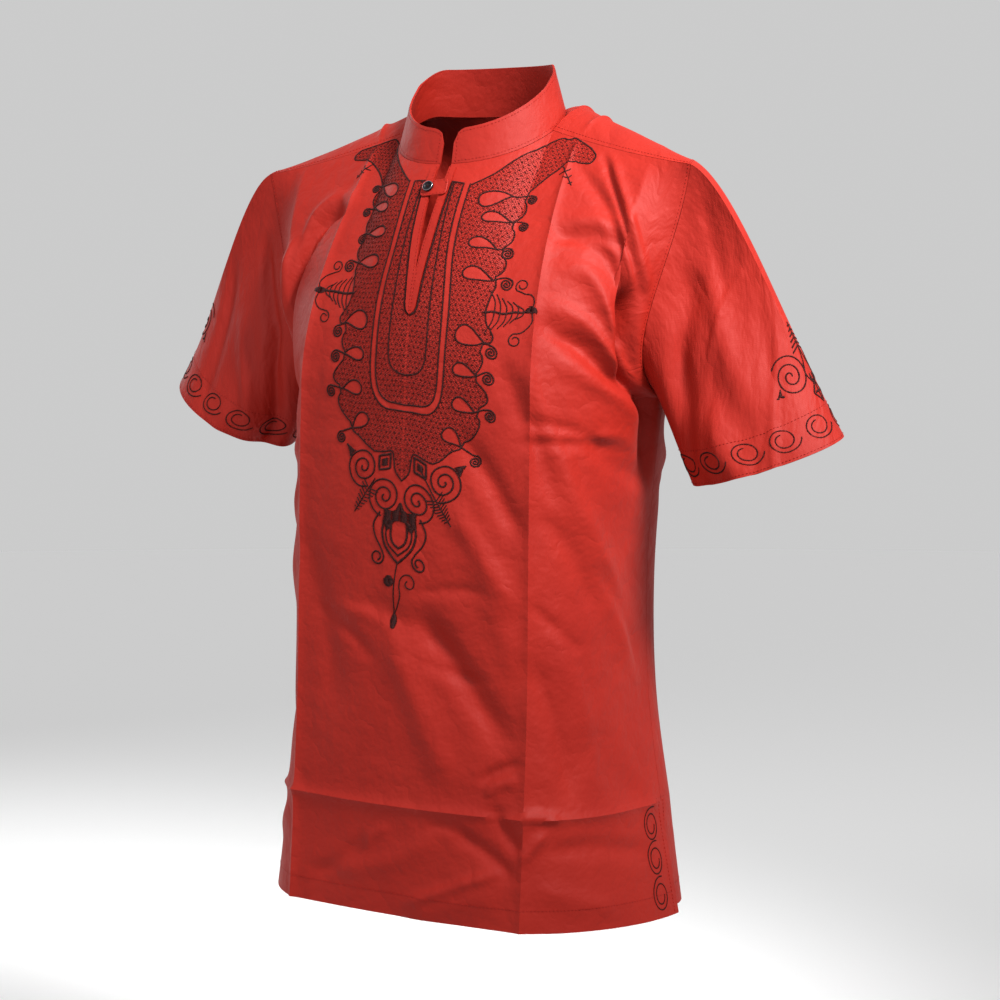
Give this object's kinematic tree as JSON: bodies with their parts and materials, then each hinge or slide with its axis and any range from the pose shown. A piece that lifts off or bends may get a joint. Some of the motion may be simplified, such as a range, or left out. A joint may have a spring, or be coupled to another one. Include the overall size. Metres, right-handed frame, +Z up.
{
  "type": "dashiki shirt",
  "caption": "Hollow worn pullover shirt with short sleeves, a standing collar and a slit neck closed by a buttoned tab, open at the neck, hem and sleeve hems",
  "frame": {"origin": "the middle of the neck opening, level with the neck points, where the shirt hangs on the wearer's shoulders", "axes": "+Z up, the wearer faces -Y, the wearer's left is +X"},
  "size_m": [0.7208, 0.2876, 0.7987],
  "materials": {
    "front_cloth": "smooth red cotton with a soft sheen",
    "back_cloth": "smooth red cotton with a soft sheen",
    "sleeve_left_cloth": "smooth red cotton with a soft sheen",
    "sleeve_right_cloth": "smooth red cotton with a soft sheen",
    "collar_cloth": "smooth red cotton with a soft sheen",
    "placket_cloth": "smooth red cotton with a soft sheen",
    "button_tab_cloth": "smooth red cotton with a soft sheen",
    "button_horn": "polished black"
  },
  "bodies": {
    "root": {"front": "front_cloth", "back": "back_cloth", "sleeve_left": "sleeve_left_cloth", "sleeve_right": "sleeve_right_cloth", "collar": "collar_cloth", "placket": "placket_cloth", "button_tab": "button_tab_cloth", "button": "button_horn"}
  },
  "joints": []
}
